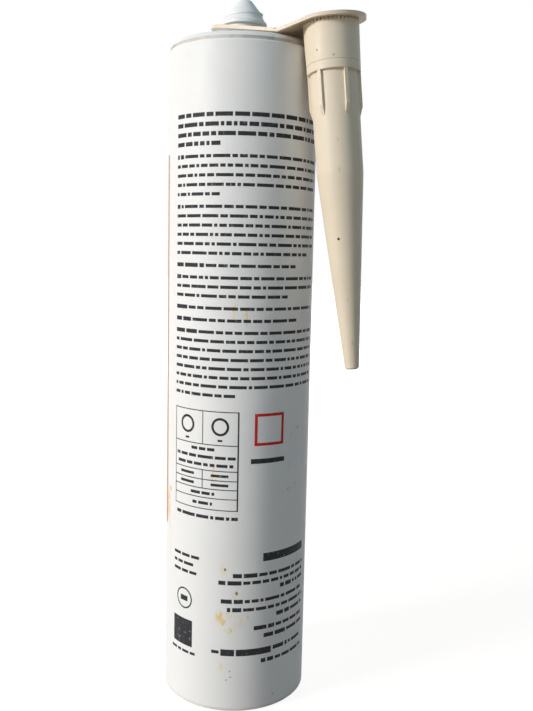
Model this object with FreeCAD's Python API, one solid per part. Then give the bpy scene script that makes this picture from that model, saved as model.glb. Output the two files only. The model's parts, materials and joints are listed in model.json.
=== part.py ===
import FreeCAD
import Part
import math
import os
from FreeCAD import Vector

# Sealant cartridge with its nozzle hanging from a holder ring at its side.
# The barrel stands on its rear rim, its axis is Z, and z = 0 is the rear rim.
# The nozzle hangs on the +X side. All sizes are in millimetres.

# Barrel
BARREL_R = 24.75
BARREL_WALL = 1.4
BARREL_LENGTH = 218.0
REAR_EDGE_R = 0.4
LEAD_IN_DEPTH = 12.0
LEAD_IN_STEP = 0.3
LEAD_IN_RUN = 1.0

# Head, which closes the front of the barrel
SEAM_HEIGHT = 1.2
SEAM_DEPTH = 0.45
SEAM_EDGE = 0.2
SHOULDER_RISE = 1.6
SHOULDER_LEAN = 1.2
SHOULDER_SLOPE = 0.12
HEAD_WALL = 2.0

# Spigot, the closed and threaded outlet
NECK_R = 6.3
NECK_EDGE = 0.8
NECK_HEIGHT = 4.8
BEAD_R = 7.4
BEAD_HEIGHT = 0.9
BEAD_SLOPE_HEIGHT = 0.8
THREAD_ROOT_LOW_R = 6.6
THREAD_ROOT_HIGH_R = 5.45
THREAD_LENGTH = 4.2
THREAD_PITCH = 2.6
THREAD_TURNS = 1.2
THREAD_END_DEG = 130.0
THREAD_CREST_TOP_R = 5.75
THREAD_TAPER_DEG = 23.5
THREAD_DEPTH = 1.5
THREAD_BASE_WIDTH = 1.5
THREAD_CREST_WIDTH = 0.5
SPIGOT_CONE_HEIGHT = 4.03
SPIGOT_TIP_R = 2.2
SPIGOT_TIP_ROUND = 0.9
OUTLET_R = 4.4
OUTLET_TIP_WALL = 1.1

# Piston, a cup with a flared wiper lip at each end
PISTON_RECESS = 26.0
PISTON_HEIGHT = 20.0
PISTON_WALL = 1.2
PISTON_BODY_GAP = 0.55
PISTON_LIP_GAP = 0.08
PISTON_LIP_HEIGHT = 2.2

# Contents
CONTENTS_GAP = 0.25

# Holder: ring, strap and disc of one thickness and width
HOLDER_THICKNESS = 1.05
HOLDER_HALF_WIDTH = 11.0
RING_SEAT_GAP = 0.33
RING_SLOPE_DEG = 10.0
RING_HOLE_R = 7.0
FOLD_MIDDLE_INSET = 4.5
FOLD_SIDE_INSET = 2.1
DISC_LIFT = 0.3
DISC_SLOPE_DEG = 3.4
DISC_ROLL_DEG = 4.8
DISC_BEND_MIDDLE = 9.3

# Nozzle, with s measured from its mouth along its own axis
NOZZLE_BARREL_GAP = 0.3
NOZZLE_MOUTH_DROP = 0.45
NOZZLE_LEAN_DEG = 6.17
COLLAR_MOUTH_R = 8.78
COLLAR_LIP_R = 8.36
COLLAR_LENGTH = 16.6
COLLAR_SKIRT = 2.6
COLLAR_GROOVE_DEPTH = 0.16
COLLAR_GROOVE_WIDTH = 0.4
COLLAR_BORE_R = 7.75
BODY_TOP_R = 7.45
BODY_KINK_R = 7.3
BODY_KINK_S = 47.5
NOZZLE_LENGTH = 108.65
NOZZLE_TIP_R = 2.2
NOZZLE_WALL = 1.3
NOZZLE_TIP_ROUND = 0.5
FIN_COUNT = 6
FIN_FIRST_DEG = 26.0
FIN_WIDTH = 1.1
FIN_LENGTH = 10.5
FIN_SLOPE = 2.8
INNER_THREAD_DEPTH = 0.5
INNER_THREAD_SINK = 0.15
INNER_THREAD_TURNS = 2.0
INNER_THREAD_S = 3.2
INNER_THREAD_WIDTH = 1.2

# Crown of teeth that break when the nozzle is twisted off
CROWN_TEETH = 45
CROWN_HEIGHT = 1.05
CROWN_TIP_WIDTH = 0.2
CROWN_LEAN = 0.25
CROWN_FILM = 0.3

# Values that follow from the ones above
BORE_R = BARREL_R - BARREL_WALL
SEAM_TOP = BARREL_LENGTH + SEAM_HEIGHT
SEAM_R = BARREL_R - SEAM_DEPTH
SHOULDER_EDGE_R = SEAM_R - SHOULDER_LEAN
SHOULDER_EDGE_Z = SEAM_TOP + SHOULDER_RISE
NECK_BASE_Z = SHOULDER_EDGE_Z + (SHOULDER_EDGE_R - NECK_R) * SHOULDER_SLOPE
NECK_TOP = NECK_BASE_Z + NECK_HEIGHT
THREAD_TOP = NECK_TOP + THREAD_LENGTH
SPIGOT_TIP_Z = THREAD_TOP + SPIGOT_CONE_HEIGHT
HEAD_INSIDE_EDGE_Z = SHOULDER_EDGE_Z - HEAD_WALL
HEAD_INSIDE_NECK_Z = NECK_BASE_Z - HEAD_WALL
PISTON_TOP = PISTON_RECESS + PISTON_HEIGHT
PISTON_BODY_R = BORE_R - PISTON_BODY_GAP
PISTON_LIP_R = BORE_R - PISTON_LIP_GAP
FOLD_MIDDLE = SHOULDER_EDGE_R - FOLD_MIDDLE_INSET
FOLD_SIDE = SHOULDER_EDGE_R - FOLD_SIDE_INSET
RING_SLOPE = math.radians(RING_SLOPE_DEG)
FOLD_MIDDLE_X = FOLD_MIDDLE * math.cos(RING_SLOPE)
HEAD_TOP_AT_FOLD = SHOULDER_EDGE_Z + (SHOULDER_EDGE_R - FOLD_MIDDLE_X) * SHOULDER_SLOPE
RING_UNDERSIDE_AT_FOLD = HEAD_TOP_AT_FOLD + RING_SEAT_GAP
RING_TOP_AT_FOLD = RING_UNDERSIDE_AT_FOLD + HOLDER_THICKNESS / math.cos(RING_SLOPE)
RING_CENTRE_Z = RING_TOP_AT_FOLD + FOLD_MIDDLE_X * math.tan(RING_SLOPE)
NOZZLE_MOUTH_Z = RING_CENTRE_Z - NOZZLE_MOUTH_DROP
NOZZLE_LEAN = math.radians(NOZZLE_LEAN_DEG)
COLLAR_GROOVE_S = COLLAR_LENGTH - COLLAR_SKIRT
FIN_END_S = COLLAR_LENGTH + FIN_LENGTH
COLLAR_TAPER = (COLLAR_MOUTH_R - COLLAR_LIP_R) / COLLAR_LENGTH
RIM_DROP = NOZZLE_MOUTH_Z - BARREL_LENGTH
COLLAR_REACH_AT_RIM = (COLLAR_MOUTH_R - COLLAR_TAPER * RIM_DROP) / math.cos(NOZZLE_LEAN)
NOZZLE_X_AT_RIM = BARREL_R + NOZZLE_BARREL_GAP + COLLAR_REACH_AT_RIM
NOZZLE_MOUTH_X = NOZZLE_X_AT_RIM - RIM_DROP * math.tan(NOZZLE_LEAN)
TRIM_EXTRA = 3.0
ROUND = "round"
FAR = 60.0


def unit(vector):
    """Return the vector at length one."""
    return vector * (1.0 / vector.Length)


def profile_wire(corners):
    """Closed wire in the XZ plane through (r, z, size) points.

    A size of 0 leaves the corner sharp, another size cuts it off straight at that distance
    along both sides, and a fourth value of ROUND makes it an arc of that radius.
    """
    edges = []
    starts = []
    count = len(corners)
    for index in range(count):
        before = Vector(corners[index - 1][0], 0, corners[index - 1][1])
        here = Vector(corners[index][0], 0, corners[index][1])
        after = Vector(corners[(index + 1) % count][0], 0, corners[(index + 1) % count][1])
        size = corners[index][2]
        back = unit(before - here)
        ahead = unit(after - here)
        middle = None
        if ROUND in corners[index][3:]:
            half = back.getAngle(ahead) / 2.0
            middle = here + unit(back + ahead) * (size / math.sin(half) - size)
            size = size / math.tan(half)
        starts.append((here + back * size, here + ahead * size, middle))
    for index in range(count):
        enter, leave, middle = starts[index]
        following = starts[(index + 1) % count][0]
        if middle is not None:
            edges.append(Part.Arc(enter, middle, leave).toShape())
        elif (leave - enter).Length > 0:
            edges.append(Part.LineSegment(enter, leave).toShape())
        edges.append(Part.LineSegment(leave, following).toShape())
    return Part.Wire(edges)


def turned(corners):
    """Solid of revolution about Z from the points of a profile."""
    face = Part.Face(profile_wire(corners))
    return face.revolve(Vector(0, 0, 0), Vector(0, 0, 1), 360)


def thread_section(inner_r, crest_r, base_width):
    """Closed outline of a thread's ridge in the XZ plane at the height 0."""
    points = [
        Vector(inner_r, 0, -base_width / 2),
        Vector(crest_r, 0, -THREAD_CREST_WIDTH / 2),
        Vector(crest_r, 0, THREAD_CREST_WIDTH / 2),
        Vector(inner_r, 0, base_width / 2),
    ]
    return Part.makePolygon(points + [points[0]])


def wound(section, turns, radius, taper_deg):
    """Section wound right-handed about Z, growing wider upwards by the taper's angle."""
    helix = Part.makeHelix(THREAD_PITCH, THREAD_PITCH * turns, radius, taper_deg, False)
    return Part.Wire(helix.Edges).makePipeShell([section], True, True)


def barrel_outside():
    """Outer form of barrel, head and spigot as one turned solid."""
    corners = [
        (0, 0, 0),
        (BARREL_R, 0, REAR_EDGE_R),
        (BARREL_R, BARREL_LENGTH, SEAM_EDGE),
        (SEAM_R, BARREL_LENGTH, 0),
        (SEAM_R, SEAM_TOP, 0),
        (SHOULDER_EDGE_R, SHOULDER_EDGE_Z, SEAM_EDGE * 2),
        (NECK_R, NECK_BASE_Z, NECK_EDGE),
        (NECK_R, NECK_TOP, 0),
        (BEAD_R, NECK_TOP, 0),
        (BEAD_R, NECK_TOP + BEAD_HEIGHT, 0),
        (THREAD_ROOT_LOW_R, NECK_TOP + BEAD_HEIGHT + BEAD_SLOPE_HEIGHT, 0),
        (THREAD_ROOT_HIGH_R, THREAD_TOP, 0),
        (SPIGOT_TIP_R, SPIGOT_TIP_Z, SPIGOT_TIP_ROUND, ROUND),
        (0, SPIGOT_TIP_Z, 0),
    ]
    return turned(corners)


def barrel_inside():
    """Bore, lead-in at the rear and the hollow of the spigot, to be cut away."""
    step_r = BORE_R + LEAD_IN_STEP
    corners = [
        (0, -TRIM_EXTRA, 0),
        (step_r, -TRIM_EXTRA, 0),
        (step_r, LEAD_IN_DEPTH, 0),
        (BORE_R, LEAD_IN_DEPTH + LEAD_IN_RUN, 0),
        (BORE_R, HEAD_INSIDE_EDGE_Z, HEAD_WALL / 2),
        (OUTLET_R, HEAD_INSIDE_NECK_Z, NECK_EDGE),
        (OUTLET_R, THREAD_TOP - OUTLET_TIP_WALL, 0),
        (SPIGOT_TIP_R / 2, SPIGOT_TIP_Z - 2 * OUTLET_TIP_WALL, 0),
        (0, SPIGOT_TIP_Z - 2 * OUTLET_TIP_WALL, 0),
    ]
    return turned(corners)


def spigot_thread():
    """Tapered thread, wound with its narrow end first and then turned over, so that it narrows upwards."""
    section = thread_section(THREAD_CREST_TOP_R - THREAD_DEPTH, THREAD_CREST_TOP_R, THREAD_BASE_WIDTH)
    ridge = wound(section, THREAD_TURNS, THREAD_CREST_TOP_R, THREAD_TAPER_DEG)
    ridge.rotate(Vector(0, 0, 0), Vector(1, 0, 0), 180)
    ridge.rotate(Vector(0, 0, 0), Vector(0, 0, 1), THREAD_END_DEG)
    ridge.translate(Vector(0, 0, THREAD_TOP + THREAD_CREST_WIDTH / 2))
    return ridge


def make_barrel():
    """Barrel, head and threaded spigot in one moulding, hollow and open at the rear."""
    outside = barrel_outside().fuse(spigot_thread())
    return outside.cut(barrel_inside()).removeSplitter()


def make_piston():
    """Turned cup of the piston, open at the rear, with a flared wiper lip at each end."""
    inner_r = PISTON_BODY_R - PISTON_WALL
    return turned([
        (0, PISTON_TOP, 0),
        (PISTON_LIP_R, PISTON_TOP, 0),
        (PISTON_BODY_R, PISTON_TOP - PISTON_LIP_HEIGHT, 0),
        (PISTON_BODY_R, PISTON_RECESS + PISTON_LIP_HEIGHT, 0),
        (PISTON_LIP_R, PISTON_RECESS, 0),
        (inner_r, PISTON_RECESS, 0),
        (inner_r, PISTON_TOP - PISTON_WALL, PISTON_WALL),
        (0, PISTON_TOP - PISTON_WALL, 0),
    ])


def make_contents():
    """Sealant that fills the barrel between the piston and the head, and the spigot's hollow."""
    gap = CONTENTS_GAP
    return turned([
        (0, PISTON_TOP + gap, 0),
        (BORE_R - gap, PISTON_TOP + gap, 0),
        (BORE_R - gap, HEAD_INSIDE_EDGE_Z - gap, HEAD_WALL / 2),
        (OUTLET_R - gap, HEAD_INSIDE_NECK_Z - gap, NECK_EDGE),
        (OUTLET_R - gap, THREAD_TOP - OUTLET_TIP_WALL - gap, 0),
        (SPIGOT_TIP_R / 2 - gap, SPIGOT_TIP_Z - 2 * OUTLET_TIP_WALL - gap, 0),
        (0, SPIGOT_TIP_Z - 2 * OUTLET_TIP_WALL - gap, 0),
    ])


class Plane:
    """Tilted working plane with an origin, a direction u away from the barrel and v across."""

    def __init__(self, origin, slope_deg, roll_deg):
        slope = math.radians(slope_deg)
        roll = math.radians(roll_deg)
        self.origin = origin
        self.u = Vector(math.cos(slope), 0, math.sin(slope))
        across = Vector(0, math.cos(roll), math.sin(roll))
        self.normal = unit(self.u.cross(across))
        self.v = self.normal.cross(self.u)

    def point(self, along, across):
        """Point of the plane at the distances along u and v."""
        return self.origin + self.u * along + self.v * across

    def placement(self):
        """Placement that takes the XY plane and +Z to this plane and its normal."""
        matrix = FreeCAD.Matrix(
            self.u.x, self.v.x, self.normal.x, self.origin.x,
            self.u.y, self.v.y, self.normal.y, self.origin.y,
            self.u.z, self.v.z, self.normal.z, self.origin.z,
            0, 0, 0, 1)
        return FreeCAD.Placement(matrix)


def ring_plane():
    """Plane of the ring's and the strap's upper face, which slopes down to the nozzle."""
    return Plane(Vector(0, 0, RING_CENTRE_Z), -RING_SLOPE_DEG, 0)


def disc_plane():
    """Plane of the disc's upper face over the nozzle's mouth."""
    origin = Vector(NOZZLE_MOUTH_X, 0, NOZZLE_MOUTH_Z + DISC_LIFT)
    return Plane(origin, DISC_SLOPE_DEG, DISC_ROLL_DEG)


def plate(plane, edges):
    """Plate of the holder's thickness under the plane, bounded by the edges."""
    face = Part.Face(Part.Wire(edges))
    return face.extrude(plane.normal * -HOLDER_THICKNESS)


def strap_edges(plane, points):
    """Four edges of a curved end of the strap: upper arc, lower arc and the two short sides."""
    drop = plane.normal * -HOLDER_THICKNESS
    start, middle, end = points
    upper = Part.Arc(start, middle, end).toShape()
    lower = Part.Arc(start + drop, middle + drop, end + drop).toShape()
    side_a = Part.LineSegment(start, start + drop).toShape()
    side_b = Part.LineSegment(end, end + drop).toShape()
    return [upper, lower, side_a, side_b]


def make_strap(inner, outer):
    """Solid between two curved ends, made of ruled faces."""
    faces = [Part.makeRuledSurface(inner[index], outer[index]) for index in range(len(inner))]
    faces.append(Part.makeRuledSurface(inner[0], inner[1]))
    faces.append(Part.makeRuledSurface(outer[0], outer[1]))
    shell = Part.Shell(faces)
    shell.sewShape()
    strap = Part.Solid(shell.Shells[0])
    if strap.Volume < 0:
        strap.reverse()
    return strap


def holder_plates():
    """Ring, strap and disc before the holes: two flat plates and the ruled bend between them."""
    ring = ring_plane()
    disc = disc_plane()
    half = HOLDER_HALF_WIDTH
    fold = [ring.point(FOLD_SIDE, -half), ring.point(FOLD_MIDDLE, 0), ring.point(FOLD_SIDE, half)]
    bend = [disc.point(0, -half), disc.point(-DISC_BEND_MIDDLE, 0), disc.point(0, half)]
    ring_edges = [
        Part.Arc(ring.point(0, half), ring.point(-half, 0), ring.point(0, -half)).toShape(),
        Part.LineSegment(ring.point(0, -half), fold[0]).toShape(),
        Part.Arc(*fold).toShape(),
        Part.LineSegment(fold[2], ring.point(0, half)).toShape(),
    ]
    disc_edges = [
        Part.Arc(bend[0], disc.point(half, 0), bend[2]).toShape(),
        Part.Arc(bend[2], bend[1], bend[0]).toShape(),
    ]
    strap = make_strap(strap_edges(ring, fold), strap_edges(disc, bend))
    return [plate(ring, ring_edges), strap, plate(disc, disc_edges)]


def nozzle_placement():
    """Placement of the nozzle, whose own axis is Z with its mouth at the origin and its tip below."""
    rotation = FreeCAD.Rotation(Vector(0, 1, 0), -NOZZLE_LEAN_DEG)
    return FreeCAD.Placement(Vector(NOZZLE_MOUTH_X, 0, NOZZLE_MOUTH_Z), rotation)


def collar_r(s):
    """Outer radius of the collar at the distance s from the mouth."""
    return COLLAR_MOUTH_R - COLLAR_TAPER * s


def nozzle_outside():
    """Outer form of the nozzle: collar with a groove, body and taper to the tip."""
    groove_a = COLLAR_GROOVE_S - COLLAR_GROOVE_WIDTH / 2
    groove_b = COLLAR_GROOVE_S + COLLAR_GROOVE_WIDTH / 2
    return turned([
        (0, TRIM_EXTRA, 0),
        (COLLAR_MOUTH_R, TRIM_EXTRA, 0),
        (COLLAR_MOUTH_R, 0, 0),
        (collar_r(groove_a), -groove_a, 0),
        (collar_r(COLLAR_GROOVE_S) - COLLAR_GROOVE_DEPTH, -COLLAR_GROOVE_S, 0),
        (collar_r(groove_b), -groove_b, 0),
        (COLLAR_LIP_R, -COLLAR_LENGTH, COLLAR_GROOVE_DEPTH),
        (BODY_TOP_R, -COLLAR_LENGTH, 0),
        (BODY_KINK_R, -BODY_KINK_S, 0),
        (NOZZLE_TIP_R, -NOZZLE_LENGTH, NOZZLE_TIP_ROUND),
        (0, -NOZZLE_LENGTH, 0),
    ])


def nozzle_inside():
    """Hollow of the nozzle: threaded bore in the collar, then a cone to the tip's hole."""
    return turned([
        (0, TRIM_EXTRA * 2, 0),
        (COLLAR_BORE_R, TRIM_EXTRA * 2, 0),
        (COLLAR_BORE_R, -COLLAR_GROOVE_S, 0),
        (BODY_KINK_R - NOZZLE_WALL, -COLLAR_LENGTH, 0),
        (BODY_KINK_R - NOZZLE_WALL, -BODY_KINK_S, 0),
        (NOZZLE_TIP_R - NOZZLE_WALL, -NOZZLE_LENGTH - TRIM_EXTRA, 0),
        (0, -NOZZLE_LENGTH - TRIM_EXTRA, 0),
    ])


def fin():
    """One thin fin below the collar's lip, flush with it and sloped off at its lower end."""
    outline = Part.makePolygon([
        Vector(BODY_KINK_R - NOZZLE_WALL / 2, 0, -COLLAR_LENGTH + NOZZLE_WALL),
        Vector(COLLAR_LIP_R - COLLAR_GROOVE_DEPTH / 2, 0, -COLLAR_LENGTH + NOZZLE_WALL),
        Vector(COLLAR_LIP_R - COLLAR_GROOVE_DEPTH / 2, 0, -FIN_END_S),
        Vector(BODY_TOP_R, 0, -FIN_END_S - FIN_SLOPE),
        Vector(BODY_KINK_R - NOZZLE_WALL / 2, 0, -FIN_END_S - FIN_SLOPE),
        Vector(BODY_KINK_R - NOZZLE_WALL / 2, 0, -COLLAR_LENGTH + NOZZLE_WALL),
    ])
    outline.translate(Vector(0, -FIN_WIDTH / 2, 0))
    return Part.Face(outline).extrude(Vector(0, FIN_WIDTH, 0))


def nozzle_fins():
    """Fins at even angles round the nozzle."""
    fins = []
    for index in range(FIN_COUNT):
        turned_fin = fin()
        turned_fin.rotate(Vector(0, 0, 0), Vector(0, 0, 1), FIN_FIRST_DEG + 360.0 * index / FIN_COUNT)
        fins.append(turned_fin)
    return fins


def inner_thread():
    """Thread inside the collar, sunk a little into its wall."""
    section = thread_section(COLLAR_BORE_R + INNER_THREAD_SINK, COLLAR_BORE_R - INNER_THREAD_DEPTH,
                             INNER_THREAD_WIDTH)
    ridge = wound(section, INNER_THREAD_TURNS, COLLAR_BORE_R, 0)
    ridge.translate(Vector(0, 0, -INNER_THREAD_S - THREAD_PITCH * INNER_THREAD_TURNS))
    return ridge


def crown_gaps():
    """Pointed gaps between the teeth, cut into the collar's end under the disc as far as a thin inner film."""
    disc = disc_plane()
    pitch = 2 * math.pi * COLLAR_MOUTH_R / CROWN_TEETH
    wide = (pitch - CROWN_TIP_WIDTH) / 2
    top = -HOLDER_THICKNESS
    bottom = -HOLDER_THICKNESS - CROWN_HEIGHT
    start = COLLAR_BORE_R + CROWN_FILM
    points = [
        Vector(start, -wide, top),
        Vector(start, wide, top),
        Vector(start, -CROWN_LEAN, bottom),
    ]
    outline = Part.Face(Part.makePolygon(points + [points[0]]))
    reach = COLLAR_MOUTH_R + 1 - start
    gaps = []
    for index in range(CROWN_TEETH):
        gap = outline.extrude(Vector(reach, 0, 0))
        gap.rotate(Vector(0, 0, 0), Vector(0, 0, 1), 360.0 * index / CROWN_TEETH)
        gap.Placement = disc.placement().multiply(gap.Placement)
        gaps.append(gap)
    return gaps


def above_disc_middle():
    """Block over the disc's middle, which trims the collar so that it ends inside the disc."""
    disc = disc_plane()
    block = Part.makeBox(FAR, FAR, FAR, Vector(-FAR / 2, -FAR / 2, -HOLDER_THICKNESS / 2))
    block.Placement = disc.placement().multiply(block.Placement)
    return block


def make_nozzle_with_holder():
    """Nozzle, crown of teeth, disc, strap and ring, all one moulding."""
    placement = nozzle_placement()
    outside = nozzle_outside().multiFuse(nozzle_fins())
    hollow = nozzle_inside()
    thread = inner_thread()
    for shape in (outside, hollow, thread):
        shape.Placement = placement.multiply(shape.Placement)
    body = outside.cut(above_disc_middle()).cut(hollow).fuse(thread)
    body = body.cut(Part.makeCompound(crown_gaps()))
    ring, strap, disc = holder_plates()
    ring_hole = Part.makeCylinder(RING_HOLE_R, FAR, Vector(0, 0, RING_CENTRE_Z - FAR / 2))
    return body.multiFuse([ring.cut(ring_hole), strap, disc.cut(hollow)]).removeSplitter()


def write_node(name, shape):
    """Write one node's STEP file and print its size."""
    solids = shape.Solids
    box = shape.BoundBox
    print(name, "solids", len(solids), "valid", shape.isValid(), "volume", round(shape.Volume, 1),
          "x", round(box.XMin, 2), round(box.XMax, 2), "y", round(box.YMin, 2), round(box.YMax, 2),
          "z", round(box.ZMin, 2), round(box.ZMax, 2))
    if len(solids) == 1:
        shape = solids[0]
    shape.exportStep("parts/" + name + ".step")


def main():
    """Build every piece and write it."""
    os.makedirs("parts", exist_ok=True)
    write_node("barrel", make_barrel())
    write_node("piston", make_piston())
    write_node("sealant", make_contents())
    write_node("nozzle_with_holder", make_nozzle_with_holder())


main()
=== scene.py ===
"""Looks of a sealant cartridge that stands on its rear rim, with its nozzle hanging from its neck."""

import json
import logging
import math
import random
from dataclasses import dataclass
from enum import Enum

import bpy
from mathutils import Matrix, Vector

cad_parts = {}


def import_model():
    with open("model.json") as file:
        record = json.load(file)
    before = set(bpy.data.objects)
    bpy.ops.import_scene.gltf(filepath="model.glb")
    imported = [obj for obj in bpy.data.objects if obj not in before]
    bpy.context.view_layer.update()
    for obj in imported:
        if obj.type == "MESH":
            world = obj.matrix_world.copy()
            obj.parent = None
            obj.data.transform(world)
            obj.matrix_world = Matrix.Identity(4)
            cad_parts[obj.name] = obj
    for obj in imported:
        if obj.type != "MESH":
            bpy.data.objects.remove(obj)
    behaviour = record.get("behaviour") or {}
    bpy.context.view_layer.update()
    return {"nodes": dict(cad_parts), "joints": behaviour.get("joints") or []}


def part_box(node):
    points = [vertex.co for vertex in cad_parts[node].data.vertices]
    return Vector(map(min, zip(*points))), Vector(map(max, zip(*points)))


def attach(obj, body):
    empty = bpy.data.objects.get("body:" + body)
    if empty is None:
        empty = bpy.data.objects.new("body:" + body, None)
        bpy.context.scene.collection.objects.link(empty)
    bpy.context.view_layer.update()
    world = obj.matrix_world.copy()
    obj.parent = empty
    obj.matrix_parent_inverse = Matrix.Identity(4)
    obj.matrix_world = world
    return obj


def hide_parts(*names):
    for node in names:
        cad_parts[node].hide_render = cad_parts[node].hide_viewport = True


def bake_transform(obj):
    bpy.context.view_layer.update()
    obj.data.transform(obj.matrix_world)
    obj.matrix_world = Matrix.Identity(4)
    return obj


MM = 0.001
BARREL_SIDE_MM = 24.75
ALL_BOLD = 99
MERGE_DISTANCE = 0.000001
NOISE_SPAN = (0.3, 0.7)

log = logging.getLogger("cartridge")


class Ink(Enum):
    """Colours that the barrel is printed with."""

    BLACK = (0.035, 0.036, 0.04)
    RED = (0.62, 0.03, 0.03)
    TAN = (0.47, 0.28, 0.15)
    PALE_TAN = (0.62, 0.5, 0.36)


def polar(azimuth_deg: float, radius: float, z: float) -> Vector:
    """Point at an angle round the barrel's axis.

    Args:
        azimuth_deg: Angle from +X, counter-clockwise seen from above.
        radius: Distance from the axis, in metres.
        z: Height, in metres.

    Returns:
        The point in the part's frame.
    """
    angle = math.radians(azimuth_deg)
    return Vector((radius * math.cos(angle), radius * math.sin(angle), z))


def deselect_all() -> None:
    """Leave edit mode and deselect every object."""
    if bpy.context.object is not None and bpy.context.object.mode != "OBJECT":
        bpy.ops.object.mode_set(mode="OBJECT")
    bpy.ops.object.select_all(action="DESELECT")


def place_in_mesh(piece: bpy.types.Object) -> None:
    """Move a piece's placement into its mesh, so that its object sits at the origin.

    Args:
        piece: What is placed.
    """
    deselect_all()
    piece.select_set(True)
    bpy.context.view_layer.objects.active = piece
    bpy.ops.object.transform_apply(location=True, rotation=True, scale=True)


def apply_modifiers(piece: bpy.types.Object) -> None:
    """Apply all of a piece's modifiers in order.

    Args:
        piece: What carries them.
    """
    bpy.context.view_layer.objects.active = piece
    for modifier in list(piece.modifiers):
        bpy.ops.object.modifier_apply(modifier=modifier.name)


def dress(node: bpy.types.Object, material: bpy.types.Material) -> None:
    """Give a node its material."""
    node.data.materials.clear()
    node.data.materials.append(material)


class NodeTree:
    """Short way to write a material's nodes."""

    def __init__(self, name: str) -> None:
        """Start a material with a Principled shader and an output.

        Args:
            name: The material's name.
        """
        self.material = bpy.data.materials.new(name)
        self.material.use_nodes = True
        self.nodes = self.material.node_tree.nodes
        self.links = self.material.node_tree.links
        self.shader = self.nodes["Principled BSDF"]
        self.coordinates = self.nodes.new("ShaderNodeTexCoord").outputs["Object"]

    def link(self, source: bpy.types.NodeSocket, target: bpy.types.NodeSocket) -> None:
        """Join an output to an input."""
        self.links.new(source, target)

    def noise(self, scale: float, detail: float, roughness: float = 0.5,
              stretch: tuple[float, float, float] = (1.0, 1.0, 1.0)) -> bpy.types.NodeSocket:
        """Noise on the piece's own coordinates.

        Args:
            scale: Cells in a metre.
            detail: Octaves.
            roughness: Weight of the finer octaves.
            stretch: Scale of the coordinates along X, Y and Z.

        Returns:
            The noise's factor output.
        """
        mapping = self.nodes.new("ShaderNodeMapping")
        mapping.inputs["Scale"].default_value = stretch
        self.link(self.coordinates, mapping.inputs["Vector"])
        node = self.nodes.new("ShaderNodeTexNoise")
        node.inputs["Scale"].default_value = scale
        node.inputs["Detail"].default_value = detail
        node.inputs["Roughness"].default_value = roughness
        self.link(mapping.outputs["Vector"], node.inputs["Vector"])
        return node.outputs["Fac"]

    def remap(self, value: bpy.types.NodeSocket, low: float, high: float,
              to_low: float, to_high: float) -> bpy.types.NodeSocket:
        """Map a value smoothly from one range to another and keep it inside.

        Args:
            value: What is mapped.
            low: Value that gives to_low.
            high: Value that gives to_high.
            to_low: Result at and below low.
            to_high: Result at and above high.

        Returns:
            The mapped value.
        """
        node = self.nodes.new("ShaderNodeMapRange")
        node.interpolation_type = "SMOOTHSTEP"
        for name, number in zip(("From Min", "From Max", "To Min", "To Max"), (low, high, to_low, to_high)):
            node.inputs[name].default_value = number
        self.link(value, node.inputs["Value"])
        return node.outputs["Result"]

    def math(self, operation: str, first: bpy.types.NodeSocket,
             second: bpy.types.NodeSocket | float) -> bpy.types.NodeSocket:
        """Work out one sum on a socket and a socket or number.

        Args:
            operation: Kind of sum, as the math node names it.
            first: First term.
            second: Second term.

        Returns:
            The result.
        """
        node = self.nodes.new("ShaderNodeMath")
        node.operation = operation
        self.link(first, node.inputs[0])
        if isinstance(second, float):
            node.inputs[1].default_value = second
        else:
            self.link(second, node.inputs[1])
        return node.outputs[0]

    def spot(self, centre: Vector, size: tuple[float, float, float], edge: float) -> bpy.types.NodeSocket:
        """Soft-edged spot, 1 in its middle and 0 outside.

        Args:
            centre: Middle of the spot in the part's frame.
            size: Half extents along X, Y and Z, in metres.
            edge: Share of the spot over which it fades.

        Returns:
            The spot's strength.
        """
        mapping = self.nodes.new("ShaderNodeMapping")
        mapping.inputs["Scale"].default_value = [1.0 / extent for extent in size]
        mapping.inputs["Location"].default_value = [-c / extent for c, extent in zip(centre, size)]
        self.link(self.coordinates, mapping.inputs["Vector"])
        length = self.nodes.new("ShaderNodeVectorMath")
        length.operation = "LENGTH"
        self.link(mapping.outputs["Vector"], length.inputs[0])
        return self.remap(length.outputs["Value"], 1.0 - edge, 1.0, 1.0, 0.0)

    def mix(self, factor: bpy.types.NodeSocket, below: bpy.types.NodeSocket | tuple[float, float, float],
            above: tuple[float, float, float]) -> bpy.types.NodeSocket:
        """Lay a colour over another.

        Args:
            factor: How far the upper colour covers the lower one.
            below: Lower colour.
            above: Upper colour.

        Returns:
            The mixed colour.
        """
        node = self.nodes.new("ShaderNodeMix")
        node.data_type = "RGBA"
        colour_below, colour_above = node.inputs[6], node.inputs[7]
        self.link(factor, node.inputs["Factor"])
        if isinstance(below, tuple):
            colour_below.default_value = (*below, 1.0)
        else:
            self.link(below, colour_below)
        colour_above.default_value = (*above, 1.0)
        return node.outputs[2]

    def height(self) -> bpy.types.NodeSocket:
        """Read the height in the part's frame.

        Returns:
            The height, in metres.
        """
        split = self.nodes.new("ShaderNodeSeparateXYZ")
        self.link(self.coordinates, split.inputs[0])
        return split.outputs["Z"]

    def bump(self, height: bpy.types.NodeSocket, distance: float, strength: float) -> None:
        """Give the shader a bump.

        Args:
            height: Pattern that stands up where it is high.
            distance: Depth of the bump, in metres.
            strength: Share of it that shows.
        """
        node = self.nodes.new("ShaderNodeBump")
        node.inputs["Distance"].default_value = distance
        node.inputs["Strength"].default_value = strength
        self.link(height, node.inputs["Height"])
        self.link(node.outputs["Normal"], self.shader.inputs["Normal"])


@dataclass(frozen=True)
class Stain:
    """A dried drip or smear, which a grain makes ragged, or a plain small spot."""

    azimuth_deg: float
    height_mm: float
    width_mm: float
    length_mm: float
    strength: float
    colour: tuple[float, float, float]
    ragged: bool = True
    radius_mm: float = BARREL_SIDE_MM


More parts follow.
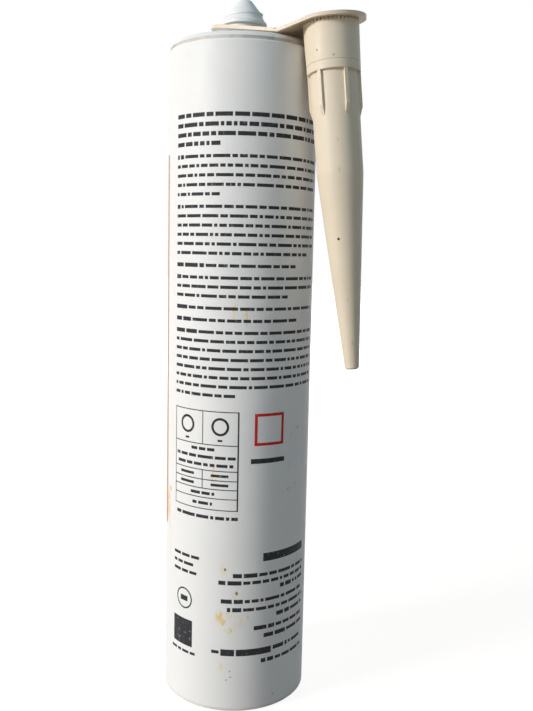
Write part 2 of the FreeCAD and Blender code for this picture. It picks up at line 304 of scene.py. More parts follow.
@dataclass(frozen=True)
class DirtAndShadeBand:
    """Colour laid all round the barrel between two heights: settled dirt, and in the groove under the head
    painted shade with some dirt.
    """

    low_mm: float
    high_mm: float
    edge_mm: float
    strength: float
    colour: tuple[float, float, float]


@dataclass(frozen=True)
class MouldedPlastic:
    """Moulded polyethylene with a faint mottle, a fine grain, what has dried or settled on it and bands of
    dirt and painted shade.
    """

    name: str
    colour: tuple[float, float, float]
    shade: tuple[float, float, float]
    roughness: float
    grain_mm: float
    glow: float
    stains: tuple[Stain, ...] = ()
    bands: tuple[DirtAndShadeBand, ...] = ()
    mottle_scale: float = 60.0
    gloss_scale: float = 400.0
    gloss_spread: tuple[float, float] = (-0.05, 0.07)
    glow_tint: tuple[float, float, float] = (1.0, 0.9, 0.75)
    glow_reach: float = 0.0012
    refraction: float = 1.52
    gloss_level: float = 0.2
    grain_depth: float = 0.00004
    grain_strength: float = 0.25
    patch_scale: float = 110.0
    stain_edge: float = 0.8
    stain_grains: float = 2.5
    stain_stretch: tuple[float, float, float] = (1.0, 1.0, 0.35)

    def make(self) -> bpy.types.Material:
        """Build the material.

        Returns:
            The material with all that has dried or settled on it and the shade painted into its bands.
        """
        tree = NodeTree(self.name)
        mottle = tree.remap(tree.noise(self.mottle_scale, 4.0), 0.35, 0.75, 0.0, 1.0)
        colour = tree.mix(mottle, self.colour, self.shade)
        smooth, dull = (self.roughness + change for change in self.gloss_spread)
        rough = tree.remap(tree.noise(self.gloss_scale, 3.0), *NOISE_SPAN, smooth, dull)
        for band in self.bands:
            colour = self.banded(tree, colour, band)
        for stain in self.stains:
            colour = self.stained(tree, colour, stain)
        inputs = tree.shader.inputs
        tree.link(colour, inputs["Base Color"])
        tree.link(rough, inputs["Roughness"])
        inputs["Subsurface Weight"].default_value = self.glow
        inputs["Subsurface Radius"].default_value = self.glow_tint
        inputs["Subsurface Scale"].default_value = self.glow_reach
        inputs["IOR"].default_value = self.refraction
        inputs["Specular IOR Level"].default_value = self.gloss_level
        grain = tree.noise(1.0 / (self.grain_mm * MM), 4.0, 0.6)
        tree.bump(grain, self.grain_depth, self.grain_strength)
        return tree.material

    def banded(self, tree: NodeTree, colour: bpy.types.NodeSocket, band: DirtAndShadeBand) -> bpy.types.NodeSocket:
        """Lay the dirt and painted shade of one band over a colour.

        Args:
            tree: Material in the making.
            colour: Colour so far.
            band: Where the dirt has settled and the shade is painted.

        Returns:
            The colour with the dirt and painted shade.
        """
        low, high, edge = band.low_mm * MM, band.high_mm * MM, band.edge_mm * MM
        height = tree.height()
        above_low = tree.remap(height, low, low + edge, 0.0, 1.0)
        below_high = tree.remap(height, high - edge, high, 1.0, 0.0)
        patchy = tree.remap(tree.noise(self.patch_scale, 4.0, 0.6), 0.35, 0.65, 0.5, 1.0)
        inside = tree.math("MULTIPLY", above_low, below_high)
        factor = tree.math("MULTIPLY", tree.math("MULTIPLY", inside, patchy), band.strength)
        return tree.mix(factor, colour, band.colour)

    def stained(self, tree: NodeTree, colour: bpy.types.NodeSocket, stain: Stain) -> bpy.types.NodeSocket:
        """Lay one stain over a colour.

        Args:
            tree: Material in the making.
            colour: Colour so far.
            stain: What has dried on the surface.

        Returns:
            The colour with the stain.
        """
        centre = polar(stain.azimuth_deg, stain.radius_mm * MM, stain.height_mm * MM)
        half = stain.width_mm / 2 * MM
        mask = tree.spot(centre, (half, half, stain.length_mm / 2 * MM), self.stain_edge)
        if stain.ragged:
            grain = tree.noise(self.stain_grains / (stain.width_mm * MM), 5.0, 0.7, self.stain_stretch)
            mask = tree.math("MULTIPLY", mask, tree.remap(grain, 0.42, 0.6, 0.0, 1.0))
        factor = tree.math("MULTIPLY", mask, stain.strength)
        return tree.mix(factor, colour, stain.colour)


@dataclass(frozen=True)
class PrintedInk:
    """Ink of one colour, slightly worn and duller than the plastic under it."""

    ink: Ink
    wear: tuple[float, float, float]
    wear_scale: float = 900.0
    wear_share: float = 0.55
    gloss_scale: float = 500.0
    roughness: tuple[float, float] = (0.45, 0.6)
    gloss_level: float = 0.08

    def make(self) -> bpy.types.Material:
        """Build the material.

        Returns:
            The ink's material.
        """
        tree = NodeTree("ink_" + self.ink.name.lower())
        worn = tree.remap(tree.noise(self.wear_scale, 4.0, 0.6), 0.58, 0.75, 0.0, self.wear_share)
        tree.link(tree.mix(worn, self.ink.value, self.wear), tree.shader.inputs["Base Color"])
        rough = tree.remap(tree.noise(self.gloss_scale, 2.0), *NOISE_SPAN, *self.roughness)
        tree.link(rough, tree.shader.inputs["Roughness"])
        tree.shader.inputs["Specular IOR Level"].default_value = self.gloss_level
        return tree.material


@dataclass(frozen=True)
class WetPaste:
    """Sealant as it fills the barrel."""

    name: str = "sealant_paste"
    colour: tuple[float, float, float] = (0.62, 0.45, 0.26)
    crest: tuple[float, float, float] = (0.7, 0.54, 0.34)
    crest_share: float = 0.5
    roughness: tuple[float, float] = (0.25, 0.4)
    fold_scale: float = 180.0
    fold_depth: float = 0.0003
    fold_strength: float = 0.4

    def make(self) -> bpy.types.Material:
        """Build the material.

        Returns:
            The paste's material.
        """
        tree = NodeTree(self.name)
        folds = tree.noise(self.fold_scale, 3.0)
        colour = tree.mix(tree.remap(folds, *NOISE_SPAN, 0.0, self.crest_share), self.colour, self.crest)
        tree.link(colour, tree.shader.inputs["Base Color"])
        tree.link(tree.remap(folds, *NOISE_SPAN, *self.roughness), tree.shader.inputs["Roughness"])
        tree.bump(folds, self.fold_depth, self.fold_strength)
        return tree.material


@dataclass
class PrintSheet:
    """Print that is laid out flat, in millimetres from its middle, and then bent round the barrel."""

    name: str
    ink: PrintedInk
    centre_deg: float
    radius_mm: float
    lift_mm: float = 0.02
    thickness_mm: float = 0.03
    strip_mm: float = 1.0
    ring_sides: int = 40

    def __post_init__(self) -> None:
        """Start an empty flat sheet in edit mode."""
        deselect_all()
        bpy.ops.mesh.primitive_plane_add(size=1.0, location=(0, 0, 0))
        self.sheet = bpy.context.object
        self.sheet.name = self.name
        bpy.ops.object.mode_set(mode="EDIT")
        bpy.ops.mesh.delete(type="VERT")

    def along(self, azimuth_deg: float) -> float:
        """Distance round the girth from the middle of the sheet, in millimetres."""
        return math.radians(azimuth_deg - self.centre_deg) * self.radius_mm

    def bar(self, left: float, bottom: float, width: float, height: float) -> None:
        """Lay a plain bar on the sheet.

        Args:
            left: Its left side, along the barrel's girth.
            bottom: Its lower side, as a height on the barrel.
            width: Its size along the girth.
            height: Its size along the barrel.
        """
        middle = (left + width / 2, 0, bottom + height / 2)
        bpy.ops.mesh.primitive_plane_add(size=1.0, location=middle, rotation=(math.pi / 2, 0, 0))
        bpy.ops.transform.resize(value=(width, 1, height), center_override=middle)

    def frame(self, left: float, bottom: float, width: float, height: float, line: float) -> None:
        """Lay four bars as the outline of a rectangle.

        Args:
            left: Its left side, along the girth.
            bottom: Its lower side, as a height on the barrel.
            width: Its size along the girth.
            height: Its size along the barrel.
            line: Width of the bars.
        """
        self.bar(left, bottom, width, line)
        self.bar(left, bottom + height - line, width, line)
        self.bar(left, bottom + line, line, height - 2 * line)
        self.bar(left + width - line, bottom + line, line, height - 2 * line)

    def ring(self, middle: float, height: float, radius: float, line: float) -> None:
        """Lay a plain ring.

        Args:
            middle: Its middle, along the girth.
            height: Its middle, as a height on the barrel.
            radius: Its outer radius.
            line: Width of its line.
        """
        bpy.ops.mesh.primitive_circle_add(vertices=self.ring_sides, radius=radius, fill_type="NGON",
                                          location=(middle, 0, height), rotation=(math.pi / 2, 0, 0))
        bpy.ops.mesh.inset(thickness=line)
        bpy.ops.mesh.delete(type="FACE")

    def finish(self) -> bpy.types.Object:
        """Bend the sheet round the barrel, give it thickness and dress it.

        Returns:
            The finished print.
        """
        self.bend(self.cut_in_strips())
        self.thicken()
        self.sheet.data.materials.clear()
        self.sheet.data.materials.append(self.ink.make())
        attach(self.sheet, "barrel")
        log.info("%s: %d faces", self.name, len(self.sheet.data.polygons))
        return self.sheet

    def cut_in_strips(self) -> float:
        """Cut the flat sheet into narrow strips, so that it can bend.

        Returns:
            Width of the sheet, in millimetres.
        """
        self.sheet.update_from_editmode()
        xs = [vertex.co.x for vertex in self.sheet.data.vertices]
        width = max(xs) - min(xs)
        for index in range(1, int(width / self.strip_mm)):
            bpy.ops.mesh.select_all(action="SELECT")
            bpy.ops.mesh.bisect(plane_co=(min(xs) + index * self.strip_mm, 0, 0), plane_no=(1, 0, 0))
        bpy.ops.object.mode_set(mode="OBJECT")
        return width

    def bend(self, width: float) -> None:
        """Bend the sheet round the barrel and turn it to its place.

        Args:
            width: Width of the flat sheet, in millimetres.
        """
        self.sheet.scale = (MM, MM, MM)
        place_in_mesh(self.sheet)
        radius = (self.radius_mm + self.lift_mm) * MM
        bend = self.sheet.modifiers.new("round_barrel", "SIMPLE_DEFORM")
        bend.deform_method = "BEND"
        bend.deform_axis = "Z"
        bend.angle = width * MM / radius
        apply_modifiers(self.sheet)
        self.sheet.location = (0, -radius, 0)
        place_in_mesh(self.sheet)
        self.sheet.rotation_euler = (0, 0, math.radians(self.centre_deg + 90))
        place_in_mesh(self.sheet)

    def thicken(self) -> None:
        """Give the bent sheet its thickness, with all faces outwards."""
        solid = self.sheet.modifiers.new("thickness", "SOLIDIFY")
        solid.thickness = self.thickness_mm * MM
        solid.offset = -1.0
        apply_modifiers(self.sheet)
        bpy.ops.object.mode_set(mode="EDIT")
        bpy.ops.mesh.select_all(action="SELECT")
        bpy.ops.mesh.normals_make_consistent(inside=False)
        bpy.ops.object.mode_set(mode="OBJECT")


@dataclass
class DashPen:
    """Lays lines of word-long dashes, whose lengths it draws from a few, in millimetres."""

    words: tuple[float, ...] = (1.1, 1.7, 2.4, 3.0, 3.7, 4.6, 5.6)
    word_gap: float = 0.65
    bold_share: float = 1.3
    seed: int = 5

    def __post_init__(self) -> None:
        """Start the draws."""
        self.random = random.Random(self.seed)

    def line(self, sheet: PrintSheet, left: float, z: float, width: float, height: float,
             bold_words: int = 0) -> None:
        """Lay one line of dashes.

        Args:
            sheet: Sheet that takes them.
            left: Where the line starts.
            z: Middle of the line's height.
            width: Length of the line.
            height: Height of a plain dash.
            bold_words: Dashes at the start of the line that are taller.
        """
        at = 0.0
        count = 0
        while at < width - self.word_gap:
            dash = min(self.random.choice(self.words), width - at)
            tall = height * self.bold_share if count < bold_words else height
            sheet.bar(left + at, z - tall / 2, dash, tall)
            at += dash + self.word_gap
            count += 1


@dataclass(frozen=True)
class Paragraph:
    """Lines of dashes, the last of them a share of the full length, with bold dashes where it starts."""

    lines: int
    last_share: float
    bold_words: int


@dataclass(frozen=True)
class TextPrint:
    """The paragraphs of dashes under the shoulder, in millimetres."""

    left_deg: float = -110.4
    right_deg: float = 20.0
    first_line_z: float = 195.85
    pitch: float = 2.912
    paragraph_gap: float = 0.93
    dash_height: float = 1.0
    paragraphs: tuple[Paragraph, ...] = (
        Paragraph(4, 0.31, ALL_BOLD), Paragraph(5, 0.31, 2), Paragraph(6, 0.9, 1), Paragraph(1, 0.8, 3),
        Paragraph(3, 0.75, 1), Paragraph(1, 1.0, 1), Paragraph(1, 0.82, 2), Paragraph(8, 0.42, 2),
    )

    def lay(self, sheet: PrintSheet, pen: DashPen) -> None:
        """Lay all the paragraphs.

        Args:
            sheet: Sheet that takes them.
            pen: What draws the dashes.
        """
        width = math.radians(self.right_deg - self.left_deg) * sheet.radius_mm
        z = self.first_line_z
        for block in self.paragraphs:
            for line in range(block.lines):
                share = block.last_share if line == block.lines - 1 else 1.0
                bold = block.bold_words if line == 0 or block.bold_words == ALL_BOLD else 0
                pen.line(sheet, -width / 2, z, width * share, self.dash_height, bold)
                z -= self.pitch
            z -= self.paragraph_gap


@dataclass(frozen=True)
class TablePrint:
    """The small table, with two plain rings and dashes in it, in millimetres."""

    left_deg: float = -110.4
    middle_deg: float = -81.8
    right_deg: float = -52.9
    levels: tuple[float, ...] = (102.5, 91.5, 82.9, 79.7, 76.7, 73.6, 69.8)
    rule: float = 0.3
    right_rule_share: float = 1.5
    parted_rows: tuple[tuple[int, int], ...] = ((1, 0), (4, 2))
    ring_z: float = 97.6
    ring_radius: float = 3.0
    ring_line: float = 0.8
    mark: tuple[float, float] = (1.6, 0.7)
    mark_z: float = 92.7
    cell_levels: tuple[float, ...] = (81.3, 78.2)
    cell_dash: tuple[float, float] = (6.0, 0.9)
    row_shares: tuple[tuple[float, float], ...] = (
        (89.9, 0.35), (87.3, 0.92), (84.7, 0.86), (75.1, 0.36), (71.7, 0.3),
    )
    row_height: float = 1.0
    footnote_z: float = 67.1
    footnote_indent: float = 1.0
    footnote_height: float = 1.1

    def lay(self, sheet: PrintSheet, pen: DashPen) -> None:
        """Lay the table and what stands in and under it.

        Args:
            sheet: Sheet that takes it.
            pen: What draws the dashes.
        """
        left, middle, right = (sheet.along(side) for side in (self.left_deg, self.middle_deg, self.right_deg))
        halves = ((left, middle), (middle, right))
        self.rules(sheet, left, middle, right)
        for start, end in halves:
            sheet.ring((start + end) / 2, self.ring_z, self.ring_radius, self.ring_line)
        for start, end in halves:
            self.half(sheet, (start + end) / 2)
        for level, share in self.row_shares:
            width = (right - left) * share
            pen.line(sheet, (left + right - width) / 2, level, width, self.row_height)
        width = right - left - self.footnote_indent
        pen.line(sheet, left + self.footnote_indent, self.footnote_z, width, self.footnote_height)

    def rules(self, sheet: PrintSheet, left: float, middle: float, right: float) -> None:
        """Lay the table's rules, the right one a little wider, and part the rows that have two columns.

        Args:
            sheet: Sheet that takes them.
            left: The table's left side, along the girth.
            middle: Where its two columns meet.
            right: Its right side.
        """
        levels = self.levels
        for level in levels:
            sheet.bar(left, level - self.rule / 2, right - left, self.rule)
        right_rule = self.right_rule_share * self.rule
        sheet.bar(left, levels[-1], self.rule, levels[0] - levels[-1])
        sheet.bar(right - right_rule, levels[-1], right_rule, levels[0] - levels[-1])
        for lower, upper in self.parted_rows:
            sheet.bar(middle, levels[lower], self.rule, levels[upper] - levels[lower])

    def half(self, sheet: PrintSheet, centre: float) -> None:
        """Lay the plain bars in one column.

        Args:
            sheet: Sheet that takes them.
            centre: Middle of the column, along the girth.
        """
        sheet.bar(centre - self.mark[0] / 2, self.mark_z, *self.mark)
        for level in self.cell_levels:
            sheet.bar(centre - self.cell_dash[0] / 2, level - self.cell_dash[1] / 2, *self.cell_dash)


@dataclass(frozen=True)
class FootPrint:
    """The plain ring, field, bars and lines near the foot, in millimetres."""

    ring_deg: float = -98.5
    ring_z: float = 37.1
    ring_radius: float = 3.7
    ring_line: float = 0.5
    ring_mark: tuple[float, float] = (3.4, 1.8)
    ring_mark_z: float = 36.2
    field_deg: float = -111.6
    field_z: float = 20.4
    field: tuple[float, float] = (9.5, 9.4)
    left_deg: float = -111.3
    left_lines: tuple[tuple[float, float], ...] = ((52.4, 12.0), (49.6, 9.6), (46.8, 12.2))
    left_height: float = 1.0
    caption_deg: float = -114.0
    caption_z: float = 18.2
    caption_width: float = 11.8
    caption_height: float = 0.9
    right_deg: float = 14.0
    heading: tuple[float, float, float, float] = (20.0, 52.2, 19.6, 2.8)
    right_lines: tuple[tuple[float, float], ...] = (
        (47.7, 30.2), (45.2, 35.0), (42.6, 13.1), (38.8, 34.1), (35.9, 32.0),
        (33.0, 14.5), (29.2, 22.9), (26.2, 19.3), (21.2, 15.6), (17.4, 20.1),
    )
    right_height: float = 1.1
    right_bold_words: int = 2
    short_dash: tuple[float, float, float] = (37.2, 20.9, 2.6)
    bars: tuple[tuple[float, float, float, float], ...] = ((34.0, 19.7, 4.6, 2.3), (28.8, 19.7, 12.4, 2.3))

    def lay(self, sheet: PrintSheet, pen: DashPen) -> None:
        """Lay the shapes and then the lines.

        Args:
            sheet: Sheet that takes them.
            pen: What draws the dashes.
        """
        right = sheet.along(self.right_deg)
        middle = sheet.along(self.ring_deg)
        sheet.ring(middle, self.ring_z, self.ring_radius, self.ring_line)
        sheet.bar(middle - self.ring_mark[0] / 2, self.ring_mark_z, *self.ring_mark)
        sheet.bar(sheet.along(self.field_deg), self.field_z, *self.field)
        self.bar_from_right(sheet, right, self.heading)
        for level, width in self.left_lines:
            pen.line(sheet, sheet.along(self.left_deg), level, width, self.left_height)
        caption_left = sheet.along(self.caption_deg)
        pen.line(sheet, caption_left, self.caption_z, self.caption_width, self.caption_height)
        for level, width in self.right_lines:
            pen.line(sheet, right - width, level, width, self.right_height, self.right_bold_words)
        offset, level, width = self.short_dash
        pen.line(sheet, right - offset, level, width, self.right_height)
        for bar in self.bars:
            self.bar_from_right(sheet, right, bar)

    def bar_from_right(self, sheet: PrintSheet, right: float, bar: tuple[float, float, float, float]) -> None:
        """Lay a bar whose place is given from the right ends of the lines.

        Args:
            sheet: Sheet that takes it.
            right: Right ends of the lines, along the girth.
            bar: How far left of them it starts, its lower side, its width and its height.
        """
        offset, bottom, width, height = bar
        sheet.bar(right - offset, bottom, width, height)


@dataclass(frozen=True)
class RedFrame:
    """The plain red frame beside the table and the plain black bar under it, in millimetres."""

    middle_deg: float = -28.9
    middle_z: float = 96.8
    side: float = 10.6
    line: float = 0.95
    bar_deg: float = -43.7
    bar_span_deg: float = 28.3
    bar_z: float = 85.6
    bar_height: float = 1.6

    def lay_frame(self, sheet: PrintSheet) -> None:
        """Lay the frame on the red sheet."""
        left = sheet.along(self.middle_deg) - self.side / 2
        sheet.frame(left, self.middle_z - self.side / 2, self.side, self.side, self.line)

    def lay_bar(self, sheet: PrintSheet) -> None:
        """Lay the bar on the black sheet."""
        width = math.radians(self.bar_span_deg) * sheet.radius_mm
        sheet.bar(sheet.along(self.bar_deg), self.bar_z, width, self.bar_height)


@dataclass(frozen=True)
class FarField:
    """The plain field on the far side and the pale bands across it, in millimetres."""

    start_deg: float = -128.5
    span_deg: float = 165.0
    bottom: float = 59.5
    height: float = 125.5
    margin: float = 6.0
    wide_band: tuple[float, float] = (118.0, 24.0)
    thin_band: tuple[float, float] = (108.0, 4.0)
    thin_share: float = 0.5
    band_lift: float = 0.055

    def build(self, radius_mm: float) -> None:
        """Build the field and the bands.

        Args:
            radius_mm: The barrel's radius.
        """
        centre_deg = self.start_deg - self.span_deg / 2
        width = math.radians(self.span_deg) * radius_mm
        field = PrintSheet("print_tan", PrintedInk(Ink.TAN, (0.6, 0.48, 0.36)), centre_deg, radius_mm)
        field.bar(-width / 2, self.bottom, width, self.height)
        field.finish()
        band = PrintSheet("print_band", PrintedInk(Ink.PALE_TAN, (0.7, 0.6, 0.48)), centre_deg, radius_mm,
                          lift_mm=self.band_lift)
        left = -width / 2 + self.margin
        band.bar(left, self.wide_band[0], width - 2 * self.margin, self.wide_band[1])
        band.bar(left, self.thin_band[0], width * self.thin_share, self.thin_band[1])
        band.finish()


@dataclass(frozen=True)
class BarrelPrint:
    """All the print on the barrel: a black sheet, a red one and two on the far side."""

    radius_mm: float
    text: TextPrint = TextPrint()
    table: TablePrint = TablePrint()
    foot: FootPrint = FootPrint()
    red_frame: RedFrame = RedFrame()
    far_field: FarField = FarField()

    def build(self) -> None:
        """Lay out and bend all the print."""
        centre_deg = (self.text.left_deg + self.text.right_deg) / 2
        pen = DashPen()
        black = PrintSheet("print_black", PrintedInk(Ink.BLACK, (0.4, 0.4, 0.4)), centre_deg, self.radius_mm)
        for block in (self.text, self.table, self.foot):
            block.lay(black, pen)
        self.red_frame.lay_bar(black)
        black.finish()
        red = PrintSheet("print_red", PrintedInk(Ink.RED, (0.75, 0.3, 0.28)), centre_deg, self.radius_mm)
        self.red_frame.lay_frame(red)
        red.finish()
        self.far_field.build(self.radius_mm)


@dataclass
class Filling:
    """Sealant in the barrel up into the head, a dressed copy of the sealant's solid; the piston's travel is
    only logged.
    """

    finish: WetPaste
    travel: float
    left_over: float = 0.0015

    def build(self) -> bpy.types.Object:
        """Copy the sealant's solid, dress it, hide the original and log the piston's travel.

        Returns:
            The finished piece.
        """
        piece = self.merged_copy()
        dress(piece, self.finish.make())
        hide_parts("sealant")
        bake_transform(piece)
        log.info("sealant_filling: shortens by %.3f m", self.travel)
        return piece

    def merged_copy(self) -> bpy.types.Object:
        """Copy the sealant's solid and merge the corners of its triangles.

        Returns:
            The copy, at the origin.
        """
        deselect_all()
        piece = bpy.data.objects.new("sealant_filling", bpy.data.objects["sealant"].data.copy())
        bpy.context.scene.collection.objects.link(piece)
        piece.select_set(True)
        bpy.context.view_layer.objects.active = piece
        bpy.ops.object.mode_set(mode="EDIT")
        bpy.ops.mesh.select_all(action="SELECT")
        bpy.ops.mesh.remove_doubles(threshold=MERGE_DISTANCE)
        bpy.ops.object.mode_set(mode="OBJECT")
        return piece


@dataclass
class PhotoCamera:
    """Camera at the photograph's place, turn and lens."""

    place_mm: tuple[float, float, float] = (166.627, -228.429, 154.785)
    right: tuple[float, float, float] = (0.82563, 0.563834, 0.020652)
    up: tuple[float, float, float] = (-0.089573, 0.094847, 0.991454)
    forward: tuple[float, float, float] = (-0.557057, 0.820424, -0.128813)
    lens_mm: float = 41.383
    sensor_mm: float = 36.0
    near: float = 0.01
    far: float = 20.0

    def build(self) -> None:
        """Make the camera and set it as the scene's."""
        data = bpy.data.cameras.new("photo_camera")
        data.lens = self.lens_mm
        data.sensor_width = self.sensor_mm
        data.clip_start = self.near
        data.clip_end = self.far
        camera = bpy.data.objects.new("photo_camera", data)
        bpy.context.scene.collection.objects.link(camera)
        turn = Matrix((self.right, self.up, tuple(-c for c in self.forward))).transposed().to_4x4()
        camera.matrix_world = Matrix.Translation(Vector(self.place_mm) * MM) @ turn
        bpy.context.scene.camera = camera


@dataclass(frozen=True)
class SoftLamp:
    """Square lamp that points at the middle of the object."""

    name: str
    azimuth_deg: float
    elevation_deg: float
    distance: float
    size: float
    power: float
    colour: tuple[float, float, float]

    def build(self, target: Vector) -> None:
        """Add the lamp.

        Args:
            target: Point that the lamp faces.
        """
        level = math.radians(self.elevation_deg)
        data = bpy.data.lights.new(self.name, "AREA")
        data.size = self.size
        data.energy = self.power
        data.color = self.colour
        lamp = bpy.data.objects.new(self.name, data)
        bpy.context.scene.collection.objects.link(lamp)
        lamp.location = target + polar(self.azimuth_deg, self.distance * math.cos(level),
                                       self.distance * math.sin(level))
        lamp.rotation_euler = (target - lamp.location).to_track_quat("-Z", "Y").to_euler()


def seen_directly(nodes: bpy.types.Nodes, links: bpy.types.NodeLinks) -> bpy.types.NodeSocket:
    """Share that is 1 for rays of the camera, a reflection or a view through glass, and 0 for light.

    Args:
        nodes: Nodes of the tree that takes the share.
        links: Links of the same tree.

    Returns:
        The share's output.
    """
    path = nodes.new("ShaderNodeLightPath")
    share = path.outputs["Is Camera Ray"]
    for name in ("Is Glossy Ray", "Is Transmission Ray"):
        larger = nodes.new("ShaderNodeMath")
        larger.operation = "MAXIMUM"
        links.new(share, larger.inputs[0])
        links.new(path.outputs[name], larger.inputs[1])
        share = larger.outputs[0]
    return share


@dataclass
class Studio:
    """White floor and backdrop, a warm lamp at the left, a weak one behind and cool light all round."""

    lamps: tuple[SoftLamp, ...]
    sky: tuple[float, float, float] = (0.42, 0.9, 1.35)
    sky_strength: float = 0.095
    floor_size: float = 6.0
    floor_drop: float = 0.0002
    floor_roughness: float = 0.7
    floor_colour: tuple[float, float, float] = (0.55, 0.44, 0.35)
    floor_glow: float = 1.5
    near_share: float = 0.6
    shadow_reach: tuple[float, float] = (0.25, 0.9)

    def build(self, target: Vector) -> None:
        """Make the floor, the lamps and the world's light.

        Args:
            target: Point that the lamps face.
        """
        self.floor()
        self.world()
        for lamp in self.lamps:
            lamp.build(target)
        bpy.context.scene.view_settings.view_transform = "Standard"

    def floor(self) -> None:
        """Make the floor, which is seen white but for a soft shadow round the object."""
        deselect_all()
        bpy.ops.mesh.primitive_plane_add(size=self.floor_size, location=(0, 0, -self.floor_drop))
        floor = bpy.context.object
        floor.name = "floor"
        place_in_mesh(floor)
        tree = NodeTree("floor_white")
        tree.shader.inputs["Base Color"].default_value = (*self.floor_colour, 1.0)
        tree.shader.inputs["Roughness"].default_value = self.floor_roughness
        distance = tree.nodes.new("ShaderNodeVectorMath")
        distance.operation = "LENGTH"
        tree.link(tree.coordinates, distance.inputs[0])
        share = tree.remap(distance.outputs["Value"], *self.shadow_reach, self.near_share, 1.0)
        direct = seen_directly(tree.nodes, tree.links)
        glow = tree.nodes.new("ShaderNodeEmission")
        glow.inputs["Strength"].default_value = self.floor_glow
        mix = tree.nodes.new("ShaderNodeMixShader")
        tree.link(tree.math("MULTIPLY", direct, share), mix.inputs[0])
        tree.link(tree.shader.outputs[0], mix.inputs[1])
        tree.link(glow.outputs[0], mix.inputs[2])
        tree.link(mix.outputs[0], tree.nodes["Material Output"].inputs["Surface"])
        floor.data.materials.append(tree.material)

    def world(self) -> None:
        """Light the scene evenly and show white behind it."""
        world = bpy.data.worlds.new("studio")
        bpy.context.scene.world = world
        world.use_nodes = True
        nodes, links = world.node_tree.nodes, world.node_tree.links
        background = nodes["Background"]
        background.inputs["Color"].default_value = (*self.sky, 1.0)
        background.inputs["Strength"].default_value = self.sky_strength
        white = nodes.new("ShaderNodeBackground")
        white.inputs["Color"].default_value = (1.0, 1.0, 1.0, 1.0)
        mix = nodes.new("ShaderNodeMixShader")
        links.new(seen_directly(nodes, links), mix.inputs[0])
        links.new(background.outputs[0], mix.inputs[1])
        links.new(white.outputs[0], mix.inputs[2])
        links.new(mix.outputs[0], nodes["World Output"].inputs["Surface"])


STUDIO_LAMPS = (
    SoftLamp("key", -118.0, 20.0, 2.4, 0.55, 56.5, (1.0, 0.98, 0.945)),
    SoftLamp("sky_patch", -25.0, 50.0, 0.5, 0.4, 0.4, (0.7, 0.92, 1.0)),
    SoftLamp("back_fill", 132.0, 15.0, 2.4, 1.2, 14.0, (1.0, 0.98, 0.95)),
)

BROWN = (0.25, 0.11, 0.04)
RUST = (0.78, 0.55, 0.33)
DRIP = (0.78, 0.6, 0.28)
GREY_DIRT = (0.3, 0.29, 0.27)
OLIVE = (0.45, 0.4, 0.2)
PALE_YELLOW = (0.79, 0.7, 0.47)
BLACK_SPECK = (0.03, 0.03, 0.03)

BARREL_STAINS = (
    Stain(-57.8, 135.2, 1.9, 7.0, 1.5, DRIP),
    Stain(-49.2, 133.8, 1.6, 12.0, 1.3, DRIP),
    Stain(-67.3, 129.6, 2.4, 4.0, 0.5, PALE_YELLOW),
    Stain(-72.0, 85.0, 2.2, 13.0, 0.7, RUST),
    Stain(-71.5, 80.2, 5.0, 3.0, 1.3, RUST),
    Stain(-119.9, 73.0, 3.4, 2.6, 1.6, RUST, False),
    Stain(-124.0, 67.5, 4.0, 15.0, 2.6, RUST),
    Stain(-121.5, 56.5, 3.4, 26.0, 0.7, PALE_YELLOW),
    Stain(-0.2, 96.0, 1.7, 1.9, 1.0, OLIVE),
    Stain(-8.4, 94.1, 1.5, 2.2, 0.5, OLIVE),
    Stain(-10.4, 83.7, 1.5, 4.5, 0.4, OLIVE),
    Stain(-9.8, 75.6, 1.8, 2.3, 1.0, OLIVE),
    Stain(-1.7, 76.8, 1.4, 2.4, 0.5, OLIVE),
    Stain(-63.0, 49.8, 3.6, 6.5, 0.8, PALE_YELLOW),
    Stain(-62.0, 49.8, 1.0, 1.4, 1.4, BROWN, False),
    Stain(-52.8, 41.7, 1.3, 1.8, 1.6, BROWN, False),
    Stain(-53.5, 41.0, 3.6, 5.0, 0.5, PALE_YELLOW),
    Stain(-66.0, 33.6, 3.8, 6.0, 1.5, DRIP),
    Stain(-62.6, 31.4, 2.6, 4.2, 1.5, DRIP),
    Stain(-58.8, 34.9, 2.6, 1.6, 1.1, DRIP),
    Stain(-58.6, 28.7, 3.8, 3.2, 1.6, DRIP),
    Stain(-48.7, 31.9, 1.4, 2.4, 0.9, DRIP),
    Stain(-43.7, 33.0, 1.5, 2.4, 0.9, DRIP),
    Stain(-57.0, 31.6, 13.0, 9.0, 0.9, PALE_YELLOW),
    Stain(-64.0, 15.6, 2.4, 4.4, 1.0, PALE_YELLOW),
    Stain(-57.3, 14.3, 0.9, 0.9, 0.9, GREY_DIRT, False),
    Stain(-56.7, 12.3, 0.9, 0.9, 1.0, GREY_DIRT, False),
    Stain(-60.0, 11.2, 0.8, 1.0, 0.8, GREY_DIRT, False),
    Stain(-21.4, 4.3, 1.3, 1.3, 0.5, GREY_DIRT, False),
    Stain(-33.0, 219.8, 1.9, 1.6, 1.0, BROWN, radius_mm=23.8),
    Stain(-43.2, 220.9, 1.6, 1.6, 1.2, RUST, radius_mm=22.6),
)
BARREL_DIRT_AND_SHADE = (
    # Painted shade with some dirt: the dark brown band in the groove between the barrel's rim and its head.
    DirtAndShadeBand(218.2, 219.4, 0.2, 0.85, (0.34, 0.28, 0.2)),
    DirtAndShadeBand(219.0, 223.5, 1.5, 0.12, (0.5, 0.44, 0.34)),
    DirtAndShadeBand(-0.5, 1.6, 1.0, 0.4, (0.4, 0.37, 0.32)),
)
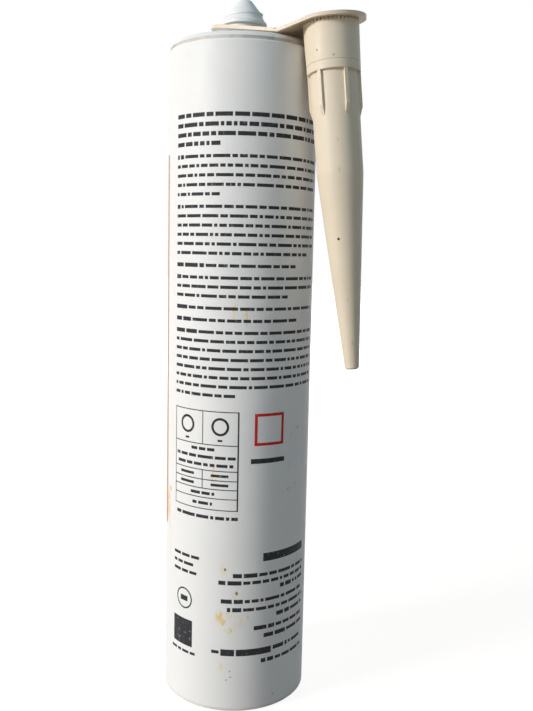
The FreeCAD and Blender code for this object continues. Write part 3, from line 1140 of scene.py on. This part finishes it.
NOZZLE_STAINS = (
    Stain(-7.6, 158.4, 1.1, 1.1, 2.0, BLACK_SPECK, False, radius_mm=41.6),
    Stain(-9.2, 188.4, 1.7, 2.4, 0.5, GREY_DIRT, radius_mm=40.7),
    Stain(-8.9, 179.5, 1.4, 2.2, 0.5, GREY_DIRT, radius_mm=41.7),
    Stain(-14.3, 214.8, 1.1, 1.1, 0.8, BROWN, False, radius_mm=34.4),
    Stain(-10.6, 213.2, 1.1, 1.1, 0.8, GREY_DIRT, False, radius_mm=39.2),
    Stain(-29.3, 222.6, 1.4, 1.2, 0.8, BROWN, False, radius_mm=22.5),
    Stain(-16.2, 225.1, 1.2, 1.2, 0.7, RUST, False, radius_mm=39.3),
    Stain(-2.5, 126.2, 1.6, 2.6, 0.6, OLIVE, radius_mm=45.7),
    Stain(-4.4, 139.7, 1.6, 2.2, 0.5, OLIVE, radius_mm=44.4),
)

WHITE_BARREL = MouldedPlastic(
    "barrel_plastic",
    colour=(0.8, 0.8, 0.8), shade=(0.78, 0.785, 0.785), roughness=0.48, grain_mm=0.6, glow=0.1,
    stains=BARREL_STAINS, bands=BARREL_DIRT_AND_SHADE,
)
CREAM_NOZZLE = MouldedPlastic(
    "nozzle_plastic",
    colour=(0.73, 0.64, 0.51), shade=(0.7, 0.605, 0.475), roughness=0.45, grain_mm=0.5, glow=0.12,
    stains=NOZZLE_STAINS,
)
SOFT_WHITE_PISTON = MouldedPlastic(
    "piston_plastic",
    colour=(0.8, 0.8, 0.78), shade=(0.76, 0.76, 0.74), roughness=0.5, grain_mm=0.6, glow=0.1,
)


def main(frame: dict) -> None:
    """Build everything and report each piece.
    """
    logging.basicConfig(level=logging.INFO, format="%(name)s: %(message)s")
    nodes = frame["nodes"]
    for name, finish in (("barrel", WHITE_BARREL), ("nozzle_with_holder", CREAM_NOZZLE),
                         ("piston", SOFT_WHITE_PISTON)):
        dress(nodes[name], finish.make())
        log.info("%s: %s", name, finish.name)
    low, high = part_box("barrel")
    PhotoCamera().build()
    Studio(STUDIO_LAMPS).build((low + high) / 2)
    stroke = next(joint["range_m"][1] for joint in frame["joints"] if joint["name"] == "piston_slide")
    Filling(WetPaste(), stroke).build()
    BarrelPrint((high.x - low.x) / 2 / MM).build()


if __name__ == "__main__":
    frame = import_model()
    main(frame)
